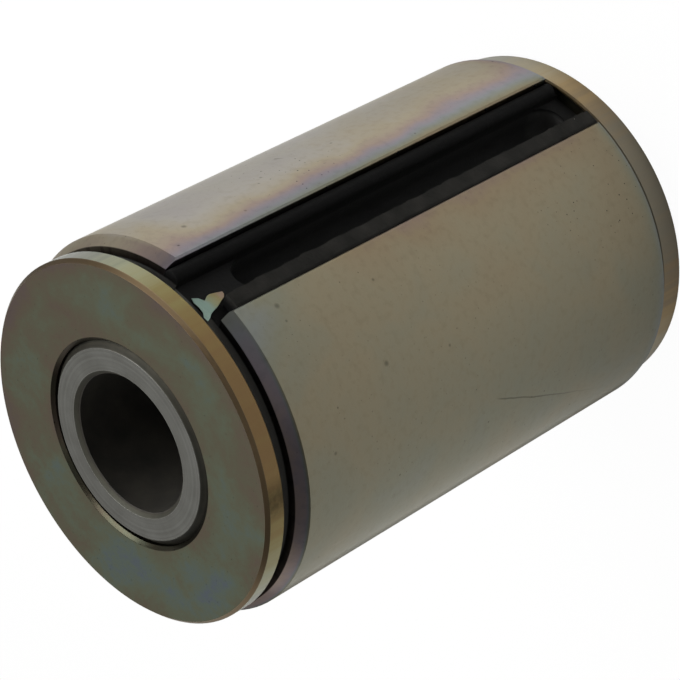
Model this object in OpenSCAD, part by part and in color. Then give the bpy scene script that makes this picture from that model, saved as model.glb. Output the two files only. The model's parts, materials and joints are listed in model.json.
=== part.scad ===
// Leaf spring bushing: a steel sleeve for the spring bolt, a rubber body bonded round it,
// an outer sleeve of two half shells that is pressed into the spring eye, and a disc at each end.
// The axis is +Z, the origin is the middle of the bottom face, and one of the two slots faces -Y.

/* [Overall] */
// Length over the two end discs, which is also the length of the inner sleeve
overall_len = 102; // [90:0.5:120]
// Outside diameter of the two shells, as they stand before they are pressed in
shell_od = 66; // [62:0.5:76]

/* [Inner sleeve] */
// Bore for the spring bolt
bore_d = 24.3; // [20:0.1:27]
// Outside diameter, on which the rubber is bonded and the discs are pressed
sleeve_od = 36; // [33:0.5:40]
// Chamfer at each mouth of the bore
bore_chamfer = 0.75; // [0.2:0.05:1.2]
// Chamfer round the outside of each end
sleeve_chamfer = 1.25; // [0.4:0.05:1.6]

/* [End discs] */
// Thickness of the top disc
top_disc_t = 3.8; // [2.5:0.1:6]
// Thickness of the bottom disc, which is the heavier one
bottom_disc_t = 5.1; // [2.5:0.1:7]
// How far the rim stands inside the shells, so that it passes through the spring eye
disc_inset = 1.25; // [0.5:0.05:2.5]
// Chamfer round the outer edge of the rim
rim_chamfer = 0.6; // [0.1:0.05:1]
// Broken edge at the back of the rim
rim_back_chamfer = 0.3; // [0.1:0.05:0.8]
// Chamfer of the hole, on the outer face
hole_chamfer = 0.55; // [0.1:0.05:1]

/* [Outer shells] */
// Wall of each half shell
shell_wall = 3; // [2:0.1:4.5]
// Width of the slot between the shells, on both sides
slot_w = 12.8; // [10:0.2:18]
// Length of the lead chamfer at the top end, which goes into the spring eye first
lead_len = 2; // [0.5:0.05:3]
// Depth of the lead chamfer
lead_depth = 1.35; // [0.4:0.05:1.7]
// Broken edge round the bottom end
bottom_break = 0.4; // [0.1:0.05:1]
// Broken edge along each side of a slot
slot_break = 0.4; // [0.1:0.05:0.8]
// Gap between the shells and the top disc
top_gap = 2.3; // [0.5:0.1:4]
// Gap between the shells and the bottom disc
bottom_gap = 0.95; // [0.3:0.05:4]

/* [Rubber] */
// Width of the rubber rail along each side of a slot
rail_w = 2.9; // [1.5:0.1:3.5]
// How far the flat rail, beside the left shell, stands below the outside of the shells
rail_drop = 0.5; // [0.2:0.05:1]
// Round on the flat rail's outer edge, which leaves a groove along the shell
rail_round = 0.9; // [0.3:0.1:1.4]
// How far the flat rail ends short of the shells at the top
rail_setback = 3.5; // [0.5:0.1:8]
// How far the crest of the round rail, beside the right shell, stands below the outside of the shells
bead_drop = 1; // [0.3:0.1:1.5]
// How far the floor of the slot, at both ends of its pocket, lies below the outside of the shells
web_drop = 3.7; // [1:0.1:6]
// Rubber that is left under the pocket in each slot
pocket_floor = 4.5; // [2:0.1:6]
// Rubber between the pocket and the top disc
top_web = 12; // [3:0.5:20]
// Rubber between the pocket and the bottom disc
bottom_web = 3; // [2:0.5:20]
// How far the rubber stands back from the foot of the lead chamfer, in the two gaps
gap_recess = 1.35; // [0.2:0.05:1.6]
// Depth of the hollow in the rubber's free edge, in the top gap
gap_hollow = 0.5; // [0.1:0.05:0.8]

/* [Hidden] */
$fn = 96;
// Overshoot of a cut past the face that it opens
cut = 1;

bore_r = bore_d / 2;
sleeve_r = sleeve_od / 2;
shell_r = shell_od / 2;
shell_bore_r = shell_r - shell_wall;
disc_r = shell_r - disc_inset;
rail_r = shell_r - rail_drop;
bead_crest_r = shell_r - bead_drop;
gap_r = shell_r - lead_depth - gap_recess;
bottom_back_z = bottom_disc_t;
top_back_z = overall_len - top_disc_t;
shell_z0 = bottom_back_z + bottom_gap;
shell_z1 = top_back_z - top_gap;
shell_len = shell_z1 - shell_z0;
slot_edge_y = sqrt(pow(shell_r, 2) - pow(slot_w / 2, 2));
web_y = shell_r - web_drop;
// The pocket has a round floor and round ends, all of one radius
pocket_r = slot_w / 2 - rail_w;
pocket_axis_y = sleeve_r + pocket_floor + pocket_r;
pocket_z0 = bottom_back_z + bottom_web + pocket_r;
pocket_z1 = top_back_z - top_web - pocket_r;

PLATE = [0.47, 0.44, 0.36];
PLATE_GREEN = [0.42, 0.43, 0.35];
BARE_STEEL = [0.55, 0.54, 0.52];
RUBBER = [0.09, 0.09, 0.09];

// Inner sleeve: a thick tube, turned and chamfered at both ends
module inner_sleeve() {
    color(BARE_STEEL)
        rotate_extrude()
            polygon([
                [bore_r, bore_chamfer],
                [bore_r + bore_chamfer, 0],
                [sleeve_r - sleeve_chamfer, 0],
                [sleeve_r, sleeve_chamfer],
                [sleeve_r, overall_len - sleeve_chamfer],
                [sleeve_r - sleeve_chamfer, overall_len],
                [bore_r + bore_chamfer, overall_len],
                [bore_r, overall_len - bore_chamfer]
            ]);
}

// End disc of thickness t with its back at z = 0 and its outer face up
module end_disc(t) {
    color(PLATE_GREEN)
        rotate_extrude()
            polygon([
                [sleeve_r, 0],
                [disc_r - rim_back_chamfer, 0],
                [disc_r, rim_back_chamfer],
                [disc_r, t - rim_chamfer],
                [disc_r - rim_chamfer, t],
                [sleeve_r + hole_chamfer, t],
                [sleeve_r, t - hole_chamfer]
            ]);
}

module top_disc() {
    translate([0, 0, top_back_z])
        end_disc(top_disc_t);
}

module bottom_disc() {
    translate([0, 0, bottom_back_z])
        mirror([0, 0, 1])
            end_disc(bottom_disc_t);
}

// The whole outer sleeve, with a lead chamfer at the top end, before it is slit
module outer_tube() {
    rotate_extrude()
        polygon([
            [shell_bore_r, shell_z0],
            [shell_r - bottom_break, shell_z0],
            [shell_r, shell_z0 + bottom_break],
            [shell_r, shell_z1 - lead_len],
            [shell_r - lead_depth, shell_z1],
            [shell_bore_r, shell_z1]
        ]);
}

// Half of the outer sleeve on the +X side, with the long edges of its slots broken
module half_shell() {
    color(PLATE)
        difference() {
            outer_tube();
            translate([-shell_r - cut, -shell_r - cut, shell_z0 - cut])
                cube([shell_r + cut + slot_w / 2, 2 * (shell_r + cut), shell_len + 2 * cut]);
            for (side = [-1, 1])
                translate([slot_w / 2, side * slot_edge_y, shell_z0 - cut])
                    rotate(45)
                        translate([-slot_break, -slot_break, 0] / sqrt(2))
                            cube([slot_break * sqrt(2), slot_break * sqrt(2), shell_len + 2 * cut]);
        }
}

module right_shell() {
    half_shell();
}

module left_shell() {
    rotate(180)
        half_shell();
}

// Half section of the rubber: a spool that fills the shells and reaches out into the two gaps
module rubber_section() {
    hollow_r = (pow(top_gap / 2, 2) + pow(gap_hollow, 2)) / (2 * gap_hollow);
    difference() {
        union() {
            translate([sleeve_r, bottom_back_z])
                square([gap_r - sleeve_r, top_back_z - bottom_back_z]);
            translate([sleeve_r, shell_z0])
                square([shell_bore_r - sleeve_r, shell_len]);
        }
        translate([shell_bore_r, shell_z0])
            square([shell_wall, shell_len]);
        translate([gap_r - gap_hollow + hollow_r, shell_z1 + top_gap / 2])
            circle(hollow_r);
    }
}

// Stem of one rail at +X in the -Y slot, from inside the body up to a cylinder of radius r
module rail_stem(r) {
    intersection() {
        circle(r);
        translate([pocket_r, -shell_r])
            square([rail_w, shell_r - pocket_axis_y]);
    }
}

// Flat rail: sharp towards the pocket, and rounded off towards the shell
module flat_rail_section() {
    centre_x = slot_w / 2 - rail_round;
    centre_y = -sqrt(pow(rail_r - rail_round, 2) - pow(centre_x, 2));
    reach = (shell_r + cut) / (rail_r - rail_round);
    difference() {
        rail_stem(rail_r);
        difference() {
            polygon([
                [centre_x, centre_y],
                [slot_w / 2 + cut, centre_y],
                [slot_w / 2 + cut, -shell_r - cut],
                [centre_x * reach, centre_y * reach]
            ]);
            translate([centre_x, centre_y])
                circle(rail_round);
        }
    }
}

// Round rail: a bead as wide as the rail on a stem
module round_rail_section() {
    bead_r = rail_w / 2;
    centre_x = pocket_r + bead_r;
    centre_y = -sqrt(pow(bead_crest_r - bead_r, 2) - pow(centre_x, 2));
    translate([centre_x, centre_y])
        circle(bead_r);
    translate([pocket_r, centre_y])
        square([rail_w, -centre_y - pocket_axis_y]);
}

// Moulding core of one slot, on the -Y side: a flat bar with a round-nosed, round-ended blade under it
module slot_core() {
    translate([-pocket_r, -web_y - shell_r, bottom_back_z])
        cube([2 * pocket_r, shell_r, top_back_z - bottom_back_z]);
    for (z = [pocket_z0, pocket_z1])
        translate([0, -pocket_axis_y, z]) {
            sphere(pocket_r);
            rotate([90, 0, 0])
                cylinder(r = pocket_r, h = shell_r);
        }
    translate([0, -pocket_axis_y, pocket_z0])
        cylinder(r = pocket_r, h = pocket_z1 - pocket_z0);
    translate([-pocket_r, -pocket_axis_y - shell_r, pocket_z0])
        cube([2 * pocket_r, shell_r, pocket_z1 - pocket_z0]);
}

// Rubber body: moulded in one piece, with two rails and a deep pocket in each slot
module rubber_body() {
    color(RUBBER)
        difference() {
            union() {
                rotate_extrude()
                    rubber_section();
                for (turn = [0, 180])
                    rotate(turn)
                        translate([0, 0, shell_z0]) {
                            linear_extrude(shell_len)
                                round_rail_section();
                            linear_extrude(shell_len - rail_setback)
                                mirror([1, 0])
                                    flat_rail_section();
                        }
            }
            for (turn = [0, 180])
                rotate(turn)
                    slot_core();
        }
}

inner_sleeve();
rubber_body();
right_shell();
left_shell();
top_disc();
bottom_disc();
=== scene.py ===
# %% [markdown]
# # A leaf spring bushing
#
# The bushing sits in the eye of a truck's leaf spring. A steel sleeve takes the spring bolt, rubber is
# bonded round it, two plated half shells are pressed into the eye, and a plated disc closes each end.
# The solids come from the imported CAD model. This lesson gives each of them its finish, adds the small
# things that moulding and handling left behind, and sets up the light and the camera.

# %% Load the frame
import json
import math

import bpy
from mathutils import Matrix, Vector, noise
from mathutils.bvhtree import BVHTree
from mathutils.geometry import tessellate_polygon


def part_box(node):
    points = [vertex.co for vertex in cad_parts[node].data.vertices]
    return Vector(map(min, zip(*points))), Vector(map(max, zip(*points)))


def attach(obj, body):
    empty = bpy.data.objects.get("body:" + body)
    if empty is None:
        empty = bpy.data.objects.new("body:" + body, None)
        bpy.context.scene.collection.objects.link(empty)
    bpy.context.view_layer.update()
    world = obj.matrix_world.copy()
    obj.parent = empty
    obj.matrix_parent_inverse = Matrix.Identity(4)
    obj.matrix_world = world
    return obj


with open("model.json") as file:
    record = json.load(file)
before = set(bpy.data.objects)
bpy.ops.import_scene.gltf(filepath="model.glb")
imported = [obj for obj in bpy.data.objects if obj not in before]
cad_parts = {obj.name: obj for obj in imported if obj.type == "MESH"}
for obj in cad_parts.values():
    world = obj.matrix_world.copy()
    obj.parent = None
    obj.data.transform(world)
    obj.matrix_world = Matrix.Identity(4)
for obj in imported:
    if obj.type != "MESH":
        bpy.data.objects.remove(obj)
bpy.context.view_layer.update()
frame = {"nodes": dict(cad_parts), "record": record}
nodes = frame["nodes"]
print("CAD nodes:", sorted(nodes))

# %% [markdown]
# ## Sizes to work from
#
# Patterns on a real part have real sizes, so the script thinks in millimetres and reads the places of the
# pieces off the frame. Nothing is typed in twice: the slot, for example, is the gap between the two shells.

# %% Read the sizes off the frame
MM = 0.001


def node_span(name, axis):
    """Lowest and highest place of a node along one axis, in millimetres."""
    low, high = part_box(name)
    return low[axis] / MM, high[axis] / MM


X, Z = 0, 2
part_height = node_span("inner_sleeve", Z)[1]
shell_bottom, shell_top = node_span("right_shell", Z)
shell_radius = node_span("right_shell", X)[1]
slot_half = node_span("right_shell", X)[0]
disc_radius = node_span("top_disc", X)[1]
sleeve_radius = node_span("inner_sleeve", X)[1]
bore_radius = frame["record"]["mounts"][0]["dims"]["r_mm"]
print(f"shells {shell_bottom:.1f} to {shell_top:.1f} mm, radius {shell_radius:.1f}")
print(f"slot {2 * slot_half:.1f} mm wide")

# %% [markdown]
# ## Two helpers for materials
#
# Colours are picked as sRGB hex values, as a colour picker shows them, but a shader works with linear
# light, so one function converts them. The other adds a node to a material, sets it up and wires it.

# %% Colour and node helpers


def linear(hex_colour):
    """Linear RGBA of an sRGB colour such as "#7f7a66"."""
    shares = [int(hex_colour[i:i + 2], 16) / 255 for i in (1, 3, 5)]
    return [c / 12.92 if c <= 0.04045 else ((c + 0.055) / 1.055) ** 2.4 for c in shares] + [1.0]


def add(tree, kind, inputs=None, stops=None, **settings):
    """Adds a node and returns its first output.

    inputs maps a socket's name or place to a value or to another node's output. stops fills a colour ramp.
    """
    node = tree.nodes.new("ShaderNode" + kind)
    for name, value in settings.items():
        setattr(node, name, value)
    for place, (position, colour) in enumerate(stops or []):
        ramp = node.color_ramp.elements
        stop = ramp[place] if place < 2 else ramp.new(position)
        stop.position = position
        stop.color = linear(colour)
    shown = [socket for socket in node.inputs if socket.enabled]
    for key, value in (inputs or {}).items():
        socket = shown[key] if isinstance(key, int) else next(s for s in shown if s.name == key)
        if isinstance(value, bpy.types.NodeSocket):
            tree.links.new(value, socket)
        else:
            socket.default_value = value
    return next((socket for socket in node.outputs if socket.enabled), None)


def new_material(name):
    """An empty node material and its tree."""
    material = bpy.data.materials.new(name)
    material.use_nodes = True
    material.node_tree.nodes.clear()
    return material, material.node_tree


def dress(name, material):
    """Gives a CAD node its finish."""
    slots = nodes[name].material_slots
    for slot in slots:
        slot.material = material
    if not slots:
        nodes[name].data.materials.append(material)


print("olive in linear light:", [round(c, 3) for c in linear("#847c68")])

# %% [markdown]
# ## Where a shaded point is
#
# A finish that belongs to a place, such as a stain along the slot's edge, has to know where the shaded point
# is. The CAD solids stand at the origin, so object coordinates are the part's own coordinates in metres.
# One group of nodes turns them into millimetres, the distance from the axis and the angle round it.

# %% Places on the part


def places(tree):
    """Point in millimetres, its x, y and z, its distance from the axis and its angle from -Y towards +X."""
    metres = add(tree, "TexCoord").node.outputs["Object"]
    point = add(tree, "VectorMath", {0: metres, "Scale": 1 / MM}, operation="SCALE")
    x, y, z = add(tree, "SeparateXYZ", {0: point}).node.outputs
    outward = add(tree, "VectorMath", {0: point, 1: (1, 1, 0)}, operation="MULTIPLY")
    radius = add(tree, "VectorMath", {0: outward}, operation="LENGTH")
    front = add(tree, "Math", {0: y, 1: -1.0}, operation="MULTIPLY")
    angle = add(tree, "Math", {0: x, 1: front}, operation="ARCTAN2")
    return point, x, y, z, radius, angle


# %% [markdown]
# ## Yellow-chromated zinc plate
#
# Shells and discs are zinc plated and then dipped in a chromate bath, which leaves a film so thin that light
# interferes in it, like oil on water. As the film thickens, its colour runs from silver through tan, rose,
# lilac and blue-grey to olive, gold and brown. So the colour is a ramp over the film's thickness, and each
# shell only has to say how thick its film is at a place. The colours below are much duller than a soap
# bubble's, because the film lies on grey metal. The film also swallows light at a grazing angle, so the
# edges of a shell stay greyer than bare metal.

# %% Film colours and the end of every plated material
FILM_COLOURS = [
    (0.00, "#959192"), (0.08, "#9c9892"), (0.16, "#99907e"), (0.22, "#8f8078"), (0.28, "#837b81"),
    (0.34, "#7b7c80"), (0.40, "#777a75"), (0.46, "#7a796a"), (0.52, "#827a66"), (0.58, "#81745f"),
    (0.64, "#7b6b62"), (0.70, "#745f42")]
SILVER, TAN, ROSE, LILAC, BLUE, GREY = 0.06, 0.16, 0.22, 0.28, 0.34, 0.40
OLIVE, SAND, BROWN = 0.51, 0.58, 0.63
# Colour of grime, also used for the painted shade on the discs
GRIME_AND_SHADE = "#16130f"
# How much rougher the plate is where grime and painted shade are 1
GRIME_AND_SHADE_ROUGHNESS = 0.12
# Painted shade: a duller tint at a grazing angle on the backs of the shells, so that they mirror less there
SHADED_GRAZING_BACK = "#a5a4a1"


def finish_plate(tree, tint, edge, grime_and_shade, height, smoothest):
    """Plate of a tint and its tint at a grazing angle, darkened and dulled by grime and by painted shade."""
    colour = add(tree, "Mix", {"Factor": grime_and_shade, "A": tint, "B": linear(GRIME_AND_SHADE)}, data_type="RGBA")
    rough = add(tree, "Math", {0: grime_and_shade, 1: GRIME_AND_SHADE_ROUGHNESS, 2: smoothest}, operation="MULTIPLY_ADD")
    normal = add(tree, "Bump", {"Height": height, "Distance": MM, "Strength": 1.0})
    shader = add(tree, "BsdfPrincipled",
                 {"Base Color": colour, "Metallic": 1.0, "Roughness": rough, "Normal": normal,
                  "Specular Tint": edge})
    add(tree, "OutputMaterial", {"Surface": shader})


print("film colours:", len(FILM_COLOURS))

# %% [markdown]
# ## Specks and scratches
#
# Pits in the plate show as dark specks. Cells of a Voronoi pattern are a handy way to scatter them: each cell
# has a random colour, and only the few cells above a threshold get a dot, whose size follows that colour too.
# A scratch is the distance from a straight line, with a little waver, that fades out towards its end.

# %% Masks for small marks


def specks(tree, place, cell, share, largest):
    """Small spots on a flat place in millimetres: one cell in so many has a spot of at most this radius."""
    dots = add(tree, "TexVoronoi", {"Vector": place, "Scale": 1 / cell}, voronoi_dimensions="2D").node.outputs
    chance = add(tree, "SeparateColor", {0: dots["Color"]})
    size = add(tree, "MapRange", {"Value": chance, "From Min": 1 - share,
                                  "To Min": 0.0, "To Max": largest / cell})
    soft = add(tree, "Math", {0: size, 1: 0.4}, operation="MULTIPLY")
    return add(tree, "MapRange", {"Value": dots["Distance"], "From Min": size, "From Max": soft})


def spot(tree, place, centre, radius):
    """1 in the middle of a round spot on a flat place, falling to 0 at its radius in millimetres."""
    away = add(tree, "VectorMath", {0: place, 1: (*centre, 0)}, operation="DISTANCE")
    return add(tree, "MapRange", {"Value": away, "From Min": radius, "From Max": radius / 3})


def scratch(tree, place, start, end, width):
    """A thin mark on a flat place, from start to end in millimetres, strongest near its start."""
    run = Vector(end) - Vector(start)
    length = run.length
    run.normalize()
    offset = add(tree, "VectorMath", {0: place, 1: (*start, 0)}, operation="SUBTRACT")
    along = add(tree, "VectorMath", {0: offset, 1: (run.x, run.y, 0)}, operation="DOT_PRODUCT")
    across = add(tree, "VectorMath", {0: offset, 1: (-run.y, run.x, 0)}, operation="DOT_PRODUCT")
    waver = add(tree, "TexNoise", {"W": along, "Scale": 1 / 7}, noise_dimensions="1D")
    across = add(tree, "Math", {0: waver, 1: 0.8, 2: across}, operation="MULTIPLY_ADD")
    across = add(tree, "Math", {0: across, 1: 0.4}, operation="SUBTRACT")
    across = add(tree, "Math", {0: across}, operation="ABSOLUTE")
    line = add(tree, "MapRange", {"Value": across, "From Min": width / 2, "From Max": width / 5})
    rise = add(tree, "MapRange", {"Value": along, "From Min": 0.0, "From Max": length / 20})
    fall = add(tree, "MapRange", {"Value": along, "From Min": length, "From Max": length / 3})
    line = add(tree, "Math", {0: line, 1: rise}, operation="MULTIPLY")
    return add(tree, "Math", {0: line, 1: fall}, operation="MULTIPLY")


# %% [markdown]
# ## The two half shells
#
# The film is thickest where the bath ran along the slot's edge and thins out over a few millimetres, so bands
# of colour follow the slot. Slow noise bends them, as the drip lines of a dipped part do. One shell is nearly
# silver away from the slot and turns tan towards the bottom, where its bands are also brighter. The other has
# a thick olive film, which is greyer at its top corner and on the side away from the slot. At the bottom end,
# where the last drops hung, there is a narrow blue-grey band. A shell is rolled sheet, so its patterns are
# laid out on the unrolled sheet: the arc round the axis and the height.

# %% Places on a shell


def fading(tree, distance, reach):
    """1 at distance 0, falling off with distance like the thickness of a film that drains."""
    share = add(tree, "Math", {0: distance, 1: reach}, operation="DIVIDE")
    share = add(tree, "Math", {0: share, 1: -1.0}, operation="MULTIPLY")
    return add(tree, "Math", {0: share}, operation="EXPONENT")


def shell_places(tree):
    """The unrolled sheet, its arc, and how far a point is from the slot, the ends and the outside."""
    point, x, y, z, radius, angle = places(tree)
    arc = add(tree, "Math", {0: angle, 1: shell_radius}, operation="MULTIPLY")
    sheet = add(tree, "CombineXYZ", {"X": arc, "Y": z})
    side = add(tree, "Math", {0: x}, operation="ABSOLUTE")
    from_slot = add(tree, "Math", {0: side, 1: slot_half}, operation="SUBTRACT")
    from_bottom = add(tree, "Math", {0: z, 1: shell_bottom}, operation="SUBTRACT")
    from_top = add(tree, "Math", {0: shell_top, 1: z}, operation="SUBTRACT")
    inside = add(tree, "Math", {0: shell_radius, 1: radius}, operation="SUBTRACT")
    return sheet, arc, from_slot, from_bottom, from_top, inside


# %% [markdown]
# The function below builds the film of one shell, layer by layer: the middle and its lower part, the side
# away from the slot, the top corner, the slot's bands, the bottom band and the lead chamfer. Each layer
# replaces the film where its mask is 1. Fine noise keeps all of it from looking painted. On top of that
# come pits, marks and a thin haze. The cut edges of the sheet are dark.

# %% Plated shells
# Heights over the bottom end between which the middle changes to its lower part
LOW_FROM, LOW_TO = 50.0, 10.0
# Arcs from the front between which the film of the far side sets in, and how much noise moves them
AWAY_FROM, AWAY_TO, AWAY_WAVER = 34.0, 54.0, 16.0
# Arcs from the front between which the tint at a grazing angle changes to the painted shade at the back
BACK_FROM, BACK_TO = 59.5, 63.5
# How far the bottom band reaches up, and the lead chamfer's corner colour along the chamfer
BOTTOM_REACH, LEAD_REACH = 1.3, 9.0
# Depth under the outside, below which a point is on a cut edge of the sheet
CUT_DEPTH = 1.3
SHELL_ROUGHNESS = 0.38


def shell_plate(name, grazing, middle, low_middle, low_lift, away, corner, corner_run, corner_width,
                edge_bottom, edge_top, edge_change, reach, lead, lead_corner, crowd_at, spots, scratches):
    """Plate on a half shell. All films are places on the colour ramp, and all lengths are in millimetres."""
    material, tree = new_material(name)
    sheet, arc, from_slot, from_bottom, from_top, inside = shell_places(tree)
    cloud = add(tree, "TexNoise", {"Vector": sheet, "Scale": 1 / 22, "Detail": 3.0})
    patch = add(tree, "TexNoise", {"Vector": sheet, "Scale": 1 / 13, "Detail": 4.0, "Distortion": 0.6})
    fine = add(tree, "TexNoise", {"Vector": sheet, "Scale": 1 / 1.4, "Detail": 4.0})

    low = add(tree, "MapRange", {"Value": from_bottom, "From Min": LOW_FROM, "From Max": LOW_TO})
    film = add(tree, "Mix", {"Factor": low, "A": middle, "B": low_middle}, data_type="FLOAT")
    from_front = add(tree, "Math", {0: arc}, operation="ABSOLUTE")
    turned_away = add(tree, "Math", {0: patch, 1: AWAY_WAVER, 2: from_front}, operation="MULTIPLY_ADD")
    turned_away = add(tree, "MapRange", {"Value": turned_away, "From Min": AWAY_FROM, "From Max": AWAY_TO})
    film = add(tree, "Mix", {"Factor": turned_away, "A": film, "B": away}, data_type="FLOAT")

    top = fading(tree, from_top, corner_run)
    corner_side = fading(tree, from_slot, corner_width)
    in_corner = add(tree, "Math", {0: top, 1: corner_side}, operation="MULTIPLY")
    in_corner = add(tree, "Math", {0: patch, 1: 0.3, 2: in_corner}, operation="MULTIPLY_ADD")
    in_corner = add(tree, "MapRange", {"Value": in_corner, "From Min": 0.30, "From Max": 0.55})
    film = add(tree, "Mix", {"Factor": in_corner, "A": film, "B": corner}, data_type="FLOAT")

    bend = add(tree, "MapRange", {"Value": cloud, "From Min": 0.3, "From Max": 0.7,
                                  "To Min": reach * 0.6, "To Max": reach * 1.5})
    near_slot = fading(tree, from_slot, bend)
    edge = add(tree, "MapRange", {"Value": from_bottom, "To Min": edge_bottom, "To Max": edge_top,
                                  "From Min": edge_change[0], "From Max": edge_change[1]})
    film = add(tree, "Mix", {"Factor": near_slot, "A": film, "B": edge}, data_type="FLOAT")

    bottom = fading(tree, from_bottom, BOTTOM_REACH)
    film = add(tree, "Mix", {"Factor": bottom, "A": film, "B": BLUE}, data_type="FLOAT")
    lead_side = fading(tree, from_slot, LEAD_REACH)
    lead_film = add(tree, "MapRange", {"Value": lead_side, "To Min": lead, "To Max": lead_corner})
    on_lead = add(tree, "MapRange", {"Value": inside, "From Min": 0.05, "From Max": 0.4})
    on_lead = add(tree, "Math", {0: on_lead, 1: top}, operation="MULTIPLY")
    film = add(tree, "Mix", {"Factor": on_lead, "A": film, "B": lead_film}, data_type="FLOAT")
    drift = add(tree, "MapRange", {"Value": patch, "From Min": 0.3, "From Max": 0.7,
                                   "To Min": -0.03, "To Max": 0.03})
    film = add(tree, "Math", {0: film, 1: drift}, operation="ADD")
    jitter = add(tree, "MapRange", {"Value": fine, "From Min": 0.3, "From Max": 0.7,
                                    "To Min": -0.008, "To Max": 0.008})
    film = add(tree, "Math", {0: film, 1: jitter}, operation="ADD")
    tint = add(tree, "ValToRGB", {"Fac": film}, stops=FILM_COLOURS)
    lift = add(tree, "Math", {0: near_slot, 1: near_slot}, operation="MULTIPLY")
    lift = add(tree, "Math", {0: near_slot, 1: lift}, operation="SUBTRACT")
    lift = add(tree, "Math", {0: lift, 1: low}, operation="MULTIPLY")
    lift = add(tree, "Math", {0: lift, 1: low_lift, 2: 1.0}, operation="MULTIPLY_ADD")
    tint = add(tree, "VectorMath", {0: tint, "Scale": lift}, operation="SCALE")
    # Painted shade: towards the back, the tint at a grazing angle turns duller
    in_shaded_back = add(tree, "MapRange", {"Value": from_front, "From Min": BACK_FROM, "From Max": BACK_TO})
    grazing_tint_and_shade = add(tree, "Mix", {"Factor": in_shaded_back, "A": linear(grazing), "B": linear(SHADED_GRAZING_BACK)},
                 data_type="RGBA")

    crowd = add(tree, "MapRange", {"Value": cloud, "From Min": 0.45, "From Max": 0.65,
                                   "To Min": 0.10, "To Max": 0.5})
    clump = spot(tree, sheet, crowd_at, 14.0)
    crowd = add(tree, "Math", {0: clump, 1: 0.8, 2: crowd}, operation="MULTIPLY_ADD")
    grime_and_shade = specks(tree, sheet, 1.3, 0.35, 0.17)
    grime_and_shade = add(tree, "Math", {0: grime_and_shade, 1: crowd}, operation="MULTIPLY")
    pits = specks(tree, sheet, 9.0, 0.35, 0.3)
    grime_and_shade = add(tree, "Math", {0: pits, 1: 0.5, 2: grime_and_shade}, operation="MULTIPLY_ADD")
    haze = add(tree, "MapRange", {"Value": fine, "From Min": 0.5, "From Max": 0.8,
                                  "To Min": 0.0, "To Max": 0.12})
    grime_and_shade = add(tree, "Math", {0: grime_and_shade, 1: haze}, operation="ADD")
    grime_and_shade = add(tree, "Math", {0: on_lead, 1: 0.08, 2: grime_and_shade}, operation="MULTIPLY_ADD")
    on_cut = add(tree, "MapRange", {"Value": inside, "From Min": CUT_DEPTH, "From Max": CUT_DEPTH + 0.2})
    grime_and_shade = add(tree, "Math", {0: on_cut, 1: 0.8, 2: grime_and_shade}, operation="MULTIPLY_ADD")
    for centre, size in spots:
        mark = spot(tree, sheet, centre, size)
        grime_and_shade = add(tree, "Math", {0: mark, 1: 0.38, 2: grime_and_shade}, operation="MULTIPLY_ADD")
    for start, end, width, depth in scratches:
        mark = scratch(tree, sheet, start, end, width)
        grime_and_shade = add(tree, "Math", {0: mark, 1: depth, 2: grime_and_shade}, operation="MULTIPLY_ADD")

    grain = add(tree, "TexNoise", {"Vector": sheet, "Scale": 1 / 0.5, "Detail": 2.0})
    waves = add(tree, "TexNoise", {"Vector": sheet, "Scale": 1 / 9})
    relief = add(tree, "Math", {0: waves, 1: 0.05}, operation="MULTIPLY")
    relief = add(tree, "Math", {0: grain, 1: 0.012, 2: relief}, operation="MULTIPLY_ADD")
    relief = add(tree, "Math", {0: grime_and_shade, 1: -0.03, 2: relief}, operation="MULTIPLY_ADD")
    finish_plate(tree, tint, grazing_tint_and_shade, grime_and_shade, relief, SHELL_ROUGHNESS)
    return material


# Spots and scratches are placed by (arc, height); a scratch with a negative depth is a bright one
dress("right_shell", shell_plate(
    "yellow-chromated zinc plate, silver", grazing="#c9c8c5", middle=SILVER, low_middle=TAN - 0.03,
    low_lift=1.5, away=SILVER, corner=TAN - 0.02, corner_run=7.0, corner_width=60.0,
    edge_bottom=SAND, edge_top=BLUE, edge_change=(30, 86), reach=3.6, lead=TAN, lead_corner=LILAC,
    crowd_at=(16.0, 62.0),
    spots=[((9.4, 76.2), 0.35), ((12.7, 86.5), 0.6), ((16.1, 66.2), 0.35), ((14.6, 68.1), 0.3),
           ((16.4, 49.5), 0.35)],
    scratches=[((20.7, 58.8), (19.0, 57.9), 0.5, 0.5)]))
dress("left_shell", shell_plate(
    "yellow-chromated zinc plate, olive", grazing="#efeeeb", middle=OLIVE, low_middle=OLIVE,
    low_lift=0.0, away=GREY + 0.07, corner=GREY, corner_run=9.0, corner_width=9.0,
    edge_bottom=BROWN, edge_top=GREY + 0.02, edge_change=(55, 86), reach=3.8, lead=ROSE, lead_corner=GREY,
    crowd_at=(-17.0, 19.0),
    spots=[((-9.3, 86.7), 0.6), ((-12.1, 86.9), 0.3), ((-25.4, 73.1), 0.6), ((-27.9, 59.4), 0.35),
           ((-12.7, 68.0), 0.35), ((-34.5, 87.7), 0.4)],
    scratches=[((-41.3, 50.5), (-55.2, 18.7), 0.36, 0.45), ((-53.5, 87.0), (-54.1, 80.0), 0.5, -0.3)]))
print("slot bands fade over 3.6 mm and 3.8 mm")

# %% [markdown]
# ## The end discs
#
# The discs hung in the bath longer, so the film on their faces has gone on to a second, paler round of
# colours: mauve and brown near the edges and on the side where it drained off, then olive, green and teal,
# and blue in a few places. The bath ran off the rim faster at the front, so its colour goes with the angle:
# grey-green on the sides, then gold, then amber. On the bottom rim the palest band, about 56 degrees round
# from the front, is painted light. The seam round the sleeve is painted dark: painted shade in the groove
# between disc and sleeve. The chamfer of the rim has some dirt all round and painted shade that deepens
# towards one side, and a finger left a smudge on the rim.

# %% Plated discs
FACE_COLOURS = [(0.00, "#7f7069"), (0.20, "#817564"), (0.42, "#7f7c67"), (0.62, "#7f8570"), (0.82, "#7b887e"),
                (1.00, "#77818b")]
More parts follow.
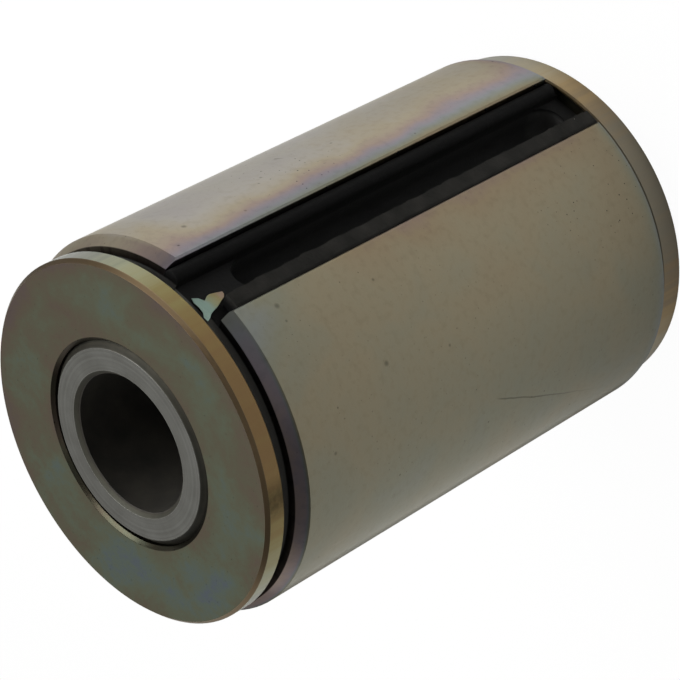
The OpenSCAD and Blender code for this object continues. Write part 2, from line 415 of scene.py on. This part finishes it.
# Rim colours by the cosine of the angle from the front
TOP_RIM = [(0.18, "#4c504a"), (0.38, "#6c6f60"), (0.50, "#84866f"), (0.60, "#858366"), (0.74, "#7c724d"),
           (0.88, "#786644"), (1.00, "#755f42")]
# Painted light: the bottom rim's palest stop, at 0.56, makes up for light missing there
BOTTOM_RIM_AND_LIGHT = [(0.20, "#8a8980"), (0.56, "#a0957c"), (0.72, "#9a8562"), (0.85, "#85765f"), (0.94, "#7d7565"),
              (1.00, "#7a7466")]
RIM_FRONT = -38
DRAINED_TO = (0.64, -0.77, 0.0)
CHAMFER_COLOUR = "#7f6c52"
DISC_GRAZING = "#efeeeb"
HOLE_CHAMFER = 0.55
hole_radius = sleeve_radius + HOLE_CHAMFER
face_middle = (sleeve_radius + disc_radius) / 2


def disc_plate(name, rim_colours_and_light, smudge_at):
    """Plate on a disc, with its rim's colours, which on the bottom disc hold painted light, and the smudge's
    angle.
    """
    material, tree = new_material(name)
    point, x, y, z, radius, angle = places(tree)
    patch = add(tree, "TexNoise", {"Vector": point, "Scale": 1 / 9, "Detail": 3.0, "Distortion": 0.4})
    fine = add(tree, "TexNoise", {"Vector": point, "Scale": 1 / 0.8, "Detail": 3.0})

    drained = add(tree, "VectorMath", {0: point, 1: DRAINED_TO}, operation="DOT_PRODUCT")
    thickness = add(tree, "MapRange", {"Value": drained, "From Min": -disc_radius, "From Max": disc_radius,
                                       "To Min": 0.74, "To Max": 0.38})
    away = add(tree, "Math", {0: radius, 1: face_middle}, operation="SUBTRACT")
    away = add(tree, "Math", {0: away}, operation="ABSOLUTE")
    thinner = add(tree, "MapRange", {"Value": away, "From Min": 2.5, "From Max": 6.5, "To Max": -0.28})
    face_film = add(tree, "Math", {0: thickness, 1: thinner}, operation="ADD")
    for pattern, strength in ((patch, 0.28), (fine, 0.09)):
        mottle = add(tree, "MapRange", {"Value": pattern, "From Min": 0.3, "From Max": 0.7,
                                        "To Min": -strength, "To Max": strength})
        face_film = add(tree, "Math", {0: face_film, 1: mottle}, operation="ADD")
    face = add(tree, "ValToRGB", {"Fac": face_film}, stops=FACE_COLOURS)

    turn = add(tree, "Math", {0: angle, 1: math.radians(RIM_FRONT)}, operation="SUBTRACT")
    turn = add(tree, "Math", {0: turn}, operation="COSINE")
    streak = add(tree, "TexNoise", {"W": angle, "Scale": 14.0, "Detail": 3.0}, noise_dimensions="1D")
    streak = add(tree, "MapRange", {"Value": streak, "From Min": 0.3, "From Max": 0.7,
                                    "To Min": -0.06, "To Max": 0.06})
    turn = add(tree, "Math", {0: turn, 1: streak}, operation="ADD")
    rim = add(tree, "ValToRGB", {"Fac": turn}, stops=rim_colours_and_light)
    to_top = add(tree, "Math", {0: part_height, 1: z}, operation="SUBTRACT")
    depth = add(tree, "Math", {0: z, 1: to_top}, operation="MINIMUM")
    outside = add(tree, "MapRange", {"Value": radius, "From Min": disc_radius - 0.7,
                                     "From Max": disc_radius - 0.55})
    on_rim = add(tree, "MapRange", {"Value": depth, "From Min": 0.5, "From Max": 0.65})
    on_rim = add(tree, "Math", {0: on_rim, 1: outside}, operation="MULTIPLY")
    on_chamfer = add(tree, "Math", {0: outside, 1: on_rim}, operation="SUBTRACT")
    tint = add(tree, "Mix", {"Factor": on_rim, "A": face, "B": rim}, data_type="RGBA")
    tint = add(tree, "Mix", {"Factor": on_chamfer, "A": tint, "B": linear(CHAMFER_COLOUR)}, data_type="RGBA")

    flat = add(tree, "CombineXYZ", {"X": x, "Y": y})
    grime_and_shade = specks(tree, flat, 1.6, 0.3, 0.18)
    on_face = add(tree, "MapRange", {"Value": outside, "To Min": 0.5, "To Max": 0.0})
    grime_and_shade = add(tree, "Math", {0: grime_and_shade, 1: on_face}, operation="MULTIPLY")
    # Painted shade: the hole's chamfer and the seam round the sleeve are darkened like the groove they form
    seam_shade = add(tree, "MapRange", {"Value": radius, "From Min": hole_radius + 0.12, "From Max": hole_radius})
    grime_and_shade = add(tree, "Math", {0: seam_shade, 1: 0.85, 2: grime_and_shade}, operation="MULTIPLY_ADD")
    # The rim chamfer has some dirt all round; the darkening that grows along DRAINED_TO is painted shade
    # that dims the key lamp's highlight on that side
    chamfer_dirt_and_shade = add(tree, "MapRange", {"Value": drained, "From Min": 12.0, "From Max": 31.0,
                                          "To Min": 0.28, "To Max": 0.64})
    grime_and_shade = add(tree, "Math", {0: on_chamfer, 1: chamfer_dirt_and_shade, 2: grime_and_shade}, operation="MULTIPLY_ADD")
    beside = add(tree, "Math", {0: angle, 1: math.radians(smudge_at)}, operation="SUBTRACT")
    beside = add(tree, "Math", {0: beside}, operation="ABSOLUTE")
    smudge = add(tree, "MapRange", {"Value": beside, "From Min": 0.13, "From Max": 0.03,
                                    "To Min": 0.0, "To Max": 0.6})
    smudge = add(tree, "Math", {0: smudge, 1: on_rim}, operation="MULTIPLY")
    cloudy = add(tree, "MapRange", {"Value": fine, "From Min": 0.2, "From Max": 0.6,
                                    "To Min": 0.5, "To Max": 1.0})
    grime_and_shade = add(tree, "Math", {0: smudge, 1: cloudy, 2: grime_and_shade}, operation="MULTIPLY_ADD")

    grain = add(tree, "TexNoise", {"Vector": point, "Scale": 1 / 0.6, "Detail": 2.0})
    rings = add(tree, "TexNoise", {"W": radius, "Scale": 1 / 0.5, "Detail": 2.0}, noise_dimensions="1D")
    relief = add(tree, "Math", {0: grain, 1: 0.005}, operation="MULTIPLY")
    relief = add(tree, "Math", {0: rings, 1: 0.003, 2: relief}, operation="MULTIPLY_ADD")
    # The rim is rougher than the face, because only the face was turned
    smooth = add(tree, "MapRange", {"Value": outside, "To Min": 0.19, "To Max": 0.32})
    finish_plate(tree, tint, linear(DISC_GRAZING), grime_and_shade, relief, smooth)
    return material


dress("top_disc", disc_plate("yellow-chromated zinc plate, amber rim", TOP_RIM, smudge_at=-65))
dress("bottom_disc", disc_plate("yellow-chromated zinc plate, tan rim", BOTTOM_RIM_AND_LIGHT, smudge_at=100))
print("rim stands at radius", disc_radius)

# %% [markdown]
# ## The inner sleeve
#
# The sleeve is cut from thick tube and faced in a lathe. Its end is bare steel with fine rings, its outer
# chamfer is dark and the bore is nearly black. The ramp runs from the bore's wall out to the outside of the
# sleeve.

# %% Turned bare steel
material, tree = new_material("turned bare steel")
point, x, y, z, radius, angle = places(tree)
across = add(tree, "MapRange", {"Value": radius, "From Min": bore_radius, "From Max": sleeve_radius})
steel_tones = add(tree, "ValToRGB", {"Fac": across}, stops=[
    (0.00, "#282725"), (0.03, "#282725"), (0.05, "#3a3a34"), (0.12, "#40403a"), (0.14, "#92928c"),
    (0.77, "#92928c"), (0.80, "#2b2b27"), (1.00, "#292925")])
rings = add(tree, "TexNoise", {"W": radius, "Scale": 1 / 0.45, "Detail": 3.0}, noise_dimensions="1D")
stain = add(tree, "TexNoise", {"Vector": point, "Scale": 1 / 3.5, "Detail": 4.0})
mottle = add(tree, "Math", {0: rings, 1: stain}, operation="ADD")
shade = add(tree, "MapRange", {"Value": mottle, "From Min": 0.7, "From Max": 1.3,
                               "To Min": 0.0, "To Max": 0.35})
colour = add(tree, "Mix", {"Factor": shade, "A": steel_tones, "B": linear("#4f4b42")}, data_type="RGBA")
turned = add(tree, "MapRange", {"Value": radius, "From Min": bore_radius + 0.02,
                                "From Max": bore_radius + 0.2})
on_face = add(tree, "ValToRGB", {"Fac": across}, stops=[
    (0.00, "#d0d0d0"), (0.12, "#d0d0d0"), (0.14, "#848484"), (0.77, "#848484"), (0.80, "#c8c8c8")])
relief = add(tree, "Math", {0: rings, 1: 0.012}, operation="MULTIPLY")
relief = add(tree, "Math", {0: stain, 1: 0.03, 2: relief}, operation="MULTIPLY_ADD")
normal = add(tree, "Bump", {"Height": relief, "Distance": MM, "Strength": 1.0})
shader = add(tree, "BsdfPrincipled",
             {"Base Color": colour, "Metallic": turned, "Roughness": on_face, "Normal": normal,
              "Specular IOR Level": 0.1})
add(tree, "OutputMaterial", {"Surface": shader})
dress("inner_sleeve", material)
print("ramp from radius", bore_radius, "to", sleeve_radius)

# %% [markdown]
# ## The rubber
#
# Natural rubber filled with carbon black is nearly black and matt. What makes it look like rubber is its
# broad, weak shine and a fine pebbled skin. Deep in the pockets, at their bottom ends and in the gap beside
# the top disc it is a lighter grey, which is painted light in those shaded places. Dust settles on the flat
# rails, which stand proud. In both slots the flat rail is where x and y have the same sign.

# %% Natural rubber
# Painted light in the gap and at the pockets' bottom ends, and the colour of the dust on the flat rails
GAP_PAINTED_LIGHT, END_PAINTED_LIGHT, RAIL_DUST = "#5e5e5b", "#545452", "#33322f"
# Heights between which the painted light at a pocket's bottom end sets in, and its depths under the shells
END_FROM, END_TO = 12.5, 8.5
END_DEPTH_FROM, END_DEPTH_TO = 3.8, 4.6

rubber, tree = new_material("natural rubber")
point, x, y, z, radius, angle = places(tree)
clouds = add(tree, "TexNoise", {"Vector": point, "Scale": 1 / 4, "Detail": 5.0})
proud = add(tree, "MapRange", {"Value": radius, "From Min": shell_radius - 2.0,
                               "From Max": shell_radius - 0.7})
flat_side = add(tree, "Math", {0: x, 1: y}, operation="MULTIPLY")
flat_side = add(tree, "MapRange", {"Value": flat_side, "From Min": 0.0, "From Max": 20.0})
dusty = add(tree, "MapRange", {"Value": clouds, "From Min": 0.35, "From Max": 0.7,
                               "To Min": 0.5, "To Max": 1.0})
dust = add(tree, "Math", {0: proud, 1: dusty}, operation="MULTIPLY")
dust = add(tree, "Math", {0: dust, 1: flat_side}, operation="MULTIPLY")
depth = add(tree, "MapRange", {"Value": radius, "From Min": shell_radius - 5, "From Max": shell_radius})
# Painted light: the rubber is paler the deeper it lies, and paler still in the gap and at the pockets' ends
black_and_painted_light = add(tree, "ValToRGB", {"Fac": depth}, stops=[(0.16, "#303030"), (0.24, "#212121"), (0.5, "#171717")])
in_gap = add(tree, "MapRange", {"Value": z, "From Min": shell_top, "From Max": shell_top + 0.2})
black_and_painted_light = add(tree, "Mix", {"Factor": in_gap, "A": black_and_painted_light, "B": linear(GAP_PAINTED_LIGHT)}, data_type="RGBA")
at_end = add(tree, "MapRange", {"Value": z, "From Min": END_FROM, "From Max": END_TO})
below = add(tree, "MapRange", {"Value": radius, "From Min": shell_radius - END_DEPTH_FROM,
                               "From Max": shell_radius - END_DEPTH_TO})
at_end = add(tree, "Math", {0: at_end, 1: below}, operation="MULTIPLY")
black_and_painted_light = add(tree, "Mix", {"Factor": at_end, "A": black_and_painted_light, "B": linear(END_PAINTED_LIGHT)}, data_type="RGBA")
colour = add(tree, "Mix", {"Factor": dust, "A": black_and_painted_light, "B": linear(RAIL_DUST)}, data_type="RGBA")
pebble = add(tree, "TexNoise", {"Vector": point, "Scale": 1 / 0.6, "Detail": 3.0})
relief = add(tree, "Math", {0: pebble, 1: 0.08}, operation="MULTIPLY")
relief = add(tree, "Math", {0: clouds, 1: 0.15, 2: relief}, operation="MULTIPLY_ADD")
normal = add(tree, "Bump", {"Height": relief, "Distance": MM, "Strength": 1.0})
shader = add(tree, "BsdfPrincipled",
             {"Base Color": colour, "Roughness": 0.65, "IOR": 1.5, "Specular IOR Level": 0.05,
              "Normal": normal})
add(tree, "OutputMaterial", {"Surface": shader})
dress("rubber_body", rubber)

# %% [markdown]
# ## Small things that lie on the part
#
# The next pieces are too small and too ragged for the CAD model. Each of them has to sit on something, so a
# ray is shot at a CAD node from the front of the slot, and the place that it hits is where the piece is laid.

# %% Helpers for added pieces


def front_of(name):
    """A function that gives the y of a node's surface, seen from the front of the slot, at x and z in mm."""
    surface = BVHTree.FromObject(nodes[name], bpy.context.evaluated_depsgraph_get())

    def front(x, z):
        start = Vector((x, -2 * shell_radius, z)) * MM
        return surface.ray_cast(start, Vector((0, 1, 0)))[0].y / MM

    return front


def add_piece(name, points, faces, material):
    """A mesh from points in millimetres that belongs to the part and has the given material."""
    mesh = bpy.data.meshes.new(name)
    mesh.from_pydata([Vector(point) * MM for point in points], [], faces)
    mesh.materials.append(material)
    piece = bpy.data.objects.new(name, mesh)
    bpy.context.scene.collection.objects.link(piece)
    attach(piece, "root")
    print(name, "with", len(mesh.polygons), "faces")


rubber_front = front_of("rubber_body")

# %% [markdown]
# ## A flake of plated metal
#
# A thin flake in the shape of a Y lies on the rubber at the top end of the slot, half under the disc. Its
# outline is cut out flat, as (x, z). The flake leans: its arms rest on the slot's floor, and its stem on the
# lip of rubber beside the floor. So each point of the outline is set on that slope, or on the rubber where
# that is higher, and a second layer gives the flake its thickness.

# %% Flake
FLAKE_OUTLINE = [(0.47, 95.43), (-0.14, 94.58), (-1.20, 94.22), (-0.55, 93.13), (-0.43, 92.52),
                 (-0.75, 91.44), (-1.12, 90.41), (-1.69, 90.60), (-2.25, 91.12), (-2.64, 92.00),
                 (-3.43, 93.56), (-3.96, 95.20), (-4.19, 95.72), (-4.86, 96.58), (-5.25, 97.47),
                 (-4.14, 97.27), (-3.34, 96.59), (-1.99, 96.11), (-0.63, 95.96)]
FLAKE_THICKNESS = 0.12
TIP_X, LIP_X = 0.6, -3.6

floor_y = rubber_front(TIP_X, shell_top) - 0.09
lip_y = rubber_front(LIP_X, shell_top + 0.02) - 0.09
slope = (lip_y - floor_y) / (LIP_X - TIP_X)
under = []
for x, z in FLAKE_OUTLINE:
    curl = 0.05 * noise.noise(Vector((x, 0, z)) * 0.8)
    leaning = floor_y + slope * (x - TIP_X) + curl
    under.append(Vector((x, min(leaning, rubber_front(x, z) - 0.03), z)))
over = [point - Vector((0, FLAKE_THICKNESS, 0)) for point in under]
count = len(FLAKE_OUTLINE)
triangles = tessellate_polygon([[Vector((x, z, 0)) for x, z in FLAKE_OUTLINE]])
faces = [(a, b, c) for a, b, c in triangles]
faces += [(c + count, b + count, a + count) for a, b, c in triangles]
faces += [(i, (i + 1) % count, (i + 1) % count + count, i + count) for i in range(count)]

flake, tree = new_material("plated flake")
point, x, y, z, radius, angle = places(tree)
from_tip = add(tree, "MapRange", {"Value": z, "From Min": 95.0, "From Max": 90.5})
stain = add(tree, "TexNoise", {"Vector": point, "Scale": 1 / 1.2, "Detail": 3.0})
from_tip = add(tree, "Math", {0: stain, 1: 0.3, 2: from_tip}, operation="MULTIPLY_ADD")
colour = add(tree, "ValToRGB", {"Fac": from_tip}, stops=[
    (0.25, "#70837a"), (0.48, "#767a60"), (0.8, "#7b714f"), (1.0, "#7e6c5c")])
normal = add(tree, "Bump", {"Height": stain, "Distance": 0.1 * MM, "Strength": 1.0})
shader = add(tree, "BsdfPrincipled", {"Base Color": colour, "Metallic": 1.0, "Roughness": 0.4,
                                      "Normal": normal})
add(tree, "OutputMaterial", {"Surface": shader})
add_piece("flake", under + over, faces, flake)

# %% [markdown]
# ## Flash along the flat rail
#
# Where the two halves of a mould meet, a thin lip of rubber creeps out. Here it hangs ragged along the edge
# of the pocket. It is a row of small triangles, one for each station along the rail, joined to their
# neighbours. Noise sets how far each one leans out over the pocket. None stands higher than the rail's edge.

# %% Flash
FLASH_STEP = 0.4
FLASH_FOOT = 0.5
FLASH_RISE = 0.02
RAIL_EDGE = -3.5
flash_low, flash_high = shell_bottom + 1.0, shell_top - 5.0

stations = math.ceil((flash_high - flash_low) / FLASH_STEP)
points = []
for station in range(stations + 1):
    z = flash_low + (flash_high - flash_low) * station / stations
    foot = rubber_front(RAIL_EDGE - FLASH_FOOT / 2, z)
    ragged = noise.noise(Vector((0, 0, z * 0.3))) + 0.5 * noise.noise(Vector((5, 0, z * 1.3)))
    lean = max(0.04, 0.14 + 0.34 * ragged)
    points.append((RAIL_EDGE - FLASH_FOOT, foot + 0.1, z))
    points.append((RAIL_EDGE, foot + 0.2, z))
    points.append((RAIL_EDGE + lean, foot - FLASH_RISE, z))
faces = [(0, 1, 2), (3 * stations + 2, 3 * stations + 1, 3 * stations)]
for station in range(stations):
    for corner in range(3):
        a = 3 * station + corner
        b = 3 * station + (corner + 1) % 3
        faces.append((b, a, a + 3, b + 3))
add_piece("flash", points, faces, rubber)

# %% [markdown]
# ## Crumbs
#
# A few torn crumbs of rubber hang on the other edge of the slot, and one pale grain is pressed into the flat
# rail. A crumb is a small ball of rings and spokes whose points are pushed in and out by noise.

# %% Crumbs
RINGS, SPOKES = 7, 10


def crumb(name, centre, size, material):
    """A lumpy ball round a place in millimetres, of about this radius."""
    points = []
    for ring in range(RINGS + 1):
        for spoke in range(SPOKES):
            tilt, turn = math.pi * ring / RINGS, math.tau * spoke / SPOKES
            way = Vector((math.sin(tilt) * math.cos(turn), math.sin(tilt) * math.sin(turn), math.cos(tilt)))
            points.append(centre + way * size * (1 + 0.7 * noise.noise(way * 1.5 + centre)))
    faces = []
    for ring in range(RINGS):
        for spoke in range(SPOKES):
            a, b = ring * SPOKES + spoke, ring * SPOKES + (spoke + 1) % SPOKES
            faces.append((a, a + SPOKES, b + SPOKES, b))
    add_piece(name, points, faces, material)


shell_front = front_of("right_shell")
# Height and radius of each crumb
CRUMBS = [(43.7, 0.25), (21.8, 0.27), (9.0, 0.25), (60.5, 0.2)]
for number, (z, size) in enumerate(CRUMBS):
    x = slot_half + 0.1
    crumb(f"crumb_{number + 1}", Vector((x - 0.2, shell_front(x, z) + 0.3, z)), size, rubber)

grit, tree = new_material("pale grit")
point, x, y, z, radius, angle = places(tree)
stain = add(tree, "TexNoise", {"Vector": point, "Scale": 1 / 0.3, "Detail": 2.0})
colour = add(tree, "ValToRGB", {"Fac": stain}, stops=[(0.3, "#77756c"), (0.7, "#a3a195")])
shader = add(tree, "BsdfPrincipled", {"Base Color": colour, "Roughness": 0.8, "IOR": 1.5})
add(tree, "OutputMaterial", {"Surface": shader})
grain_x, grain_z = -3.9, 9.8
grain_size = 0.3
grain_y = rubber_front(grain_x, grain_z) + grain_size
crumb("grain", Vector((grain_x, grain_y, grain_z)), grain_size, grit)

# %% [markdown]
# ## The paper sweep
#
# The part stands on white paper. A camera that exposes for the dark part burns the paper out, so most of what
# the camera sees of the floor is plain white. The rest is a diffuse sheet, which keeps the shadow and throws
# light up at the part.

# %% Floor
FLOOR_HALF = 3.0
# Share of plain white in what the camera sees of the paper, and in what metal mirrors of it
WHITE_SEEN = 0.97
WHITE_MIRRORED = 0.22
floor_mesh = bpy.data.meshes.new("floor")
floor_mesh.from_pydata([(-FLOOR_HALF, -FLOOR_HALF, 0), (FLOOR_HALF, -FLOOR_HALF, 0),
                        (FLOOR_HALF, FLOOR_HALF, 0), (-FLOOR_HALF, FLOOR_HALF, 0)], [], [(0, 1, 2, 3)])
floor = bpy.data.objects.new("floor", floor_mesh)
bpy.context.scene.collection.objects.link(floor)

paper, tree = new_material("white paper sweep")
rays = add(tree, "LightPath").node.outputs
diffuse = add(tree, "BsdfDiffuse", {"Color": linear("#e6e6e4")})
glow = add(tree, "Emission", {"Color": linear("#ffffff"), "Strength": 1.0})
mirrored = add(tree, "Math", {0: rays["Is Glossy Ray"], 1: rays["Is Transmission Ray"]}, operation="MAXIMUM")
mirrored = add(tree, "Math", {0: mirrored, 1: WHITE_MIRRORED}, operation="MULTIPLY")
share = add(tree, "Math", {0: rays["Is Camera Ray"], 1: WHITE_SEEN, 2: mirrored}, operation="MULTIPLY_ADD")
mixed = add(tree, "MixShader", {0: share, 1: diffuse, 2: glow})
add(tree, "OutputMaterial", {"Surface": mixed})
floor_mesh.materials.append(paper)

# %% [markdown]
# ## Soft light
#
# Plated metal shows what stands round it, so the lights are set by what the part should mirror. A big soft
# lamp over the floor at one side makes the paper there bright, and the shell that faces it mirrors that
# paper. A weaker lamp does the same on the other side. Four weak panels stand round the part like the walls
# of a room, and the flat end faces mirror the one behind. The rest of the room is dim.

# %% Lights


def direction(azimuth, elevation):
    """Unit vector from the part towards a place given by two angles in degrees. Azimuth 0 is -Y, 90 is +X."""
    a, e = math.radians(azimuth), math.radians(elevation)
    return Vector((math.sin(a) * math.cos(e), -math.cos(a) * math.cos(e), math.sin(e)))


def softbox(name, place, aim, width, height, radiance):
    """A flat soft lamp at a place in mm that faces aim. Its radiance is what a mirror shows, 1 for white."""
    data = bpy.data.lights.new(name, "AREA")
    data.shape = "RECTANGLE"
    data.size = width
    data.size_y = height
    data.energy = radiance * math.pi * width * height
    lamp = bpy.data.objects.new(name, data)
    bpy.context.scene.collection.objects.link(lamp)
    turn = (place - aim).to_track_quat("Z", "Y").to_matrix().to_4x4()
    lamp.matrix_world = Matrix.Translation(place * MM) @ turn


middle = Vector((0, 0, part_height / 2))
# Azimuth and distance of the place that a lamp hangs over, its height in mm, its side in m, its radiance
LAMPS = {"key": (78, 185, 330, 0.25, 9.2), "fill": (-150, 90, 420, 0.26, 3.8)}
for name, (azimuth, distance, up, side, radiance) in LAMPS.items():
    foot = direction(azimuth, 0) * distance
    softbox(name, foot + Vector((0, 0, up)), foot, side, side, radiance)
# Azimuth, elevation and distance of a wall, its width and height in m, its radiance
WALLS = {"side wall": (80, 9, 900, 1.0, 0.35, 0.65), "back wall": (150, 39, 1000, 1.0, 0.7, 0.27),
         "far wall": (-168, 8, 900, 1.0, 0.5, 0.8), "front wall": (-20, 34, 900, 1.1, 0.35, 0.25)}
for name, (azimuth, elevation, distance, width, height, radiance) in WALLS.items():
    softbox(name, middle + direction(azimuth, elevation) * distance, middle, width, height, radiance)
print("lamps and walls:", len(LAMPS) + len(WALLS))

world = bpy.data.worlds.new("studio")
bpy.context.scene.world = world
world.use_nodes = True
world.node_tree.nodes.clear()
air = world.node_tree
rays = add(air, "LightPath").node.outputs
dim = add(air, "Background", {"Color": linear("#ffffff"), "Strength": 0.10})
white = add(air, "Background", {"Color": linear("#ffffff"), "Strength": 1.0})
mixed = add(air, "MixShader", {0: rays["Is Camera Ray"], 1: dim, 2: white})
add(air, "OutputWorld", {"Surface": mixed})

# %% [markdown]
# ## The camera
#
# The photograph looks down on the standing part and is turned on its side. The places below were found by
# fitting a pinhole camera to the ellipses of the bore, the disc and the shells.

# %% Camera
CAMERA_AZIMUTH = -29.9
CAMERA_ELEVATION = 37.89
CAMERA_ROLL = -118.45
CAMERA_DISTANCE = 475.1
CAMERA_AIM = Vector((-1.2, 0.7, 54.1))
CAMERA_LENS = 147.93

camera_data = bpy.data.cameras.new("camera")
camera_data.lens = CAMERA_LENS
camera = bpy.data.objects.new("camera", camera_data)
bpy.context.scene.collection.objects.link(camera)
towards_camera = direction(CAMERA_AZIMUTH, CAMERA_ELEVATION)
turn = (-towards_camera).to_track_quat("-Z", "Y").to_matrix().to_4x4()
place = Matrix.Translation((CAMERA_AIM + towards_camera * CAMERA_DISTANCE) * MM)
camera.matrix_world = place @ turn @ Matrix.Rotation(math.radians(CAMERA_ROLL), 4, "Z")
bpy.context.scene.camera = camera
bpy.context.scene.view_settings.view_transform = "Standard"
